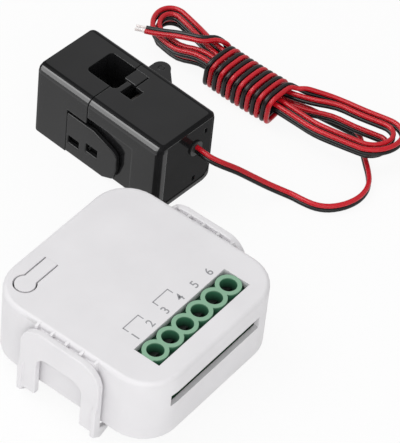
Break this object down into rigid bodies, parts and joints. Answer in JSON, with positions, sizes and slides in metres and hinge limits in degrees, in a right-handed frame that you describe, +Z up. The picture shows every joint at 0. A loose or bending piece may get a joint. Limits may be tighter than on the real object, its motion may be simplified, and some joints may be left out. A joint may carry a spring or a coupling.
{
  "type": "smart energy monitor",
  "caption": "Square white energy meter module with screw terminals, snap arms and a button, and a hinged split-core current clamp on a twin cord wound into a hank.",
  "frame": {"origin": "centre of the underside of the meter's base plate", "axes": "+Z up, out of the meter's top; -Y out of the terminal side; +X along the terminal row"},
  "size_m": [0.1169, 0.0846, 0.022],
  "materials": {
    "white_shell": "satin moulded",
    "white_base": "matte moulded",
    "green_block": "satin moulded",
    "steel": "plated",
    "tinned_metal": "tinned",
    "board": "solder mask",
    "black_parts": "moulded",
    "core_steel": "ground",
    "coil_copper": "enamelled wire",
    "clamp_black": "satin moulded",
    "grommet": "matte",
    "wire_red": "smooth sleeve",
    "wire_black": "smooth sleeve"
  },
  "bodies": {
    "monitor": {"meter_housing": "white_shell", "meter_base": "white_base", "terminal_body": "green_block", "terminal_pins": "tinned_metal", "main_board": "board", "board_screws": "steel", "wifi_board": "board", "wifi_shield": "steel", "metering_chip": "black_parts", "power_transformer": "core_steel", "bulk_capacitors": "black_parts", "bridge_rectifier": "black_parts", "varistor": "black_parts", "fuse_resistor": "black_parts", "tact_switch_body": "black_parts", "status_led": "black_parts", "ct_body": "clamp_black", "ct_end_cap": "clamp_black", "ct_hinge_pin": "clamp_black", "ct_core_fixed": "core_steel", "ct_bobbin": "white_base", "ct_coil": "coil_copper", "cord_exit": "grommet", "cord_lead_red": "wire_red", "cord_lead_black": "wire_black", "hank_red": "wire_red", "hank_black": "wire_black", "bare_ends": "tinned_metal"},
    "arm_left": {"snap_arm_left": "white_shell"},
    "arm_right": {"snap_arm_right": "white_shell"},
    "button": {"button_tongue": "white_shell"},
    "plunger": {"tact_switch_plunger": "black_parts"},
    "jaw": {"ct_jaw": "clamp_black", "ct_jaw_cover": "clamp_black", "ct_core_moving": "core_steel", "core_spring": "steel"},
    "latch": {"ct_latch": "clamp_black"},
    "finger": {"ct_tongue": "clamp_black"},
    "screw_1": {"terminal_screw_1": "steel"},
    "cage_1": {"clamp_cage_1": "steel"},
    "screw_2": {"terminal_screw_2": "steel"},
    "cage_2": {"clamp_cage_2": "steel"},
    "screw_3": {"terminal_screw_3": "steel"},
    "cage_3": {"clamp_cage_3": "steel"},
    "screw_4": {"terminal_screw_4": "steel"},
    "cage_4": {"clamp_cage_4": "steel"},
    "screw_5": {"terminal_screw_5": "steel"},
    "cage_5": {"clamp_cage_5": "steel"},
    "screw_6": {"terminal_screw_6": "steel"},
    "cage_6": {"clamp_cage_6": "steel"}
  },
  "joints": [
    {"name": "arm_left_flex", "type": "hinge", "parent": "monitor", "child": "arm_left", "pos_m": [-0.0238, 0.0002, 0.0172], "axis": [0, 1, 0], "range_deg": [0, 6], "stiffness_Nm_per_rad": 0.5},
    {"name": "arm_right_flex", "type": "hinge", "parent": "monitor", "child": "arm_right", "pos_m": [0.0238, 0.0002, 0.0172], "axis": [0, -1, 0], "range_deg": [0, 6], "stiffness_Nm_per_rad": 0.5},
    {"name": "button_press", "type": "hinge", "parent": "monitor", "child": "button", "pos_m": [-0.00755, 0.0175, 0.0158], "axis": [0, -1, 0], "range_deg": [0, 2.4], "stiffness_Nm_per_rad": 0.05},
    {"name": "plunger_press", "type": "slide", "parent": "monitor", "child": "plunger", "axis": [0, 0, -1], "range_m": [0, 0.0003728]},
    {"name": "jaw_swing", "type": "hinge", "parent": "monitor", "child": "jaw", "pos_m": [0.05755, 0.03945, 0.00585], "axis": [0, 0, -1], "range_deg": [0, 70]},
    {"name": "latch_flex", "type": "hinge", "parent": "jaw", "child": "latch", "pos_m": [0.0373, 0.0503, 0.0018], "axis": [0, 0, -1], "range_deg": [0, 12], "stiffness_Nm_per_rad": 0.1},
    {"name": "finger_flex", "type": "hinge", "parent": "monitor", "child": "finger", "pos_m": [0.05234, 0.04085, 0.0149], "axis": [-0.075, -0.9972, 0], "range_deg": [0, 8], "stiffness_Nm_per_rad": 0.02},
    {"name": "screw_1_turn", "type": "hinge", "parent": "monitor", "child": "screw_1", "pos_m": [-0.01225, -0.01485, 0.01515], "axis": [0, 0, -1], "range_deg": [0, 792]},
    {"name": "cage_1_rise", "type": "slide", "parent": "monitor", "child": "cage_1", "axis": [0, 0, 1], "range_m": [0, 0.0011]},
    {"name": "screw_2_turn", "type": "hinge", "parent": "monitor", "child": "screw_2", "pos_m": [-0.00725, -0.01485, 0.01515], "axis": [0, 0, -1], "range_deg": [0, 792]},
    {"name": "cage_2_rise", "type": "slide", "parent": "monitor", "child": "cage_2", "axis": [0, 0, 1], "range_m": [0, 0.0011]},
    {"name": "screw_3_turn", "type": "hinge", "parent": "monitor", "child": "screw_3", "pos_m": [-0.00225, -0.01485, 0.01515], "axis": [0, 0, -1], "range_deg": [0, 792]},
    {"name": "cage_3_rise", "type": "slide", "parent": "monitor", "child": "cage_3", "axis": [0, 0, 1], "range_m": [0, 0.0011]},
    {"name": "screw_4_turn", "type": "hinge", "parent": "monitor", "child": "screw_4", "pos_m": [0.00275, -0.01485, 0.01515], "axis": [0, 0, -1], "range_deg": [0, 792]},
    {"name": "cage_4_rise", "type": "slide", "parent": "monitor", "child": "cage_4", "axis": [0, 0, 1], "range_m": [0, 0.0011]},
    {"name": "screw_5_turn", "type": "hinge", "parent": "monitor", "child": "screw_5", "pos_m": [0.00775, -0.01485, 0.01515], "axis": [0, 0, -1], "range_deg": [0, 792]},
    {"name": "cage_5_rise", "type": "slide", "parent": "monitor", "child": "cage_5", "axis": [0, 0, 1], "range_m": [0, 0.0011]},
    {"name": "screw_6_turn", "type": "hinge", "parent": "monitor", "child": "screw_6", "pos_m": [0.01275, -0.01485, 0.01515], "axis": [0, 0, -1], "range_deg": [0, 792]},
    {"name": "cage_6_rise", "type": "slide", "parent": "monitor", "child": "cage_6", "axis": [0, 0, 1], "range_m": [0, 0.0011]}
  ],
  "couplings": [
    {"joint": "plunger_press", "follows": "button_press", "m_per_rad": 0.0089},
    {"joint": "screw_1_turn", "follows": "cage_1_rise", "rad_per_m": 12566},
    {"joint": "screw_2_turn", "follows": "cage_2_rise", "rad_per_m": 12566},
    {"joint": "screw_3_turn", "follows": "cage_3_rise", "rad_per_m": 12566},
    {"joint": "screw_4_turn", "follows": "cage_4_rise", "rad_per_m": 12566},
    {"joint": "screw_5_turn", "follows": "cage_5_rise", "rad_per_m": 12566},
    {"joint": "screw_6_turn", "follows": "cage_6_rise", "rad_per_m": 12566}
  ]
}
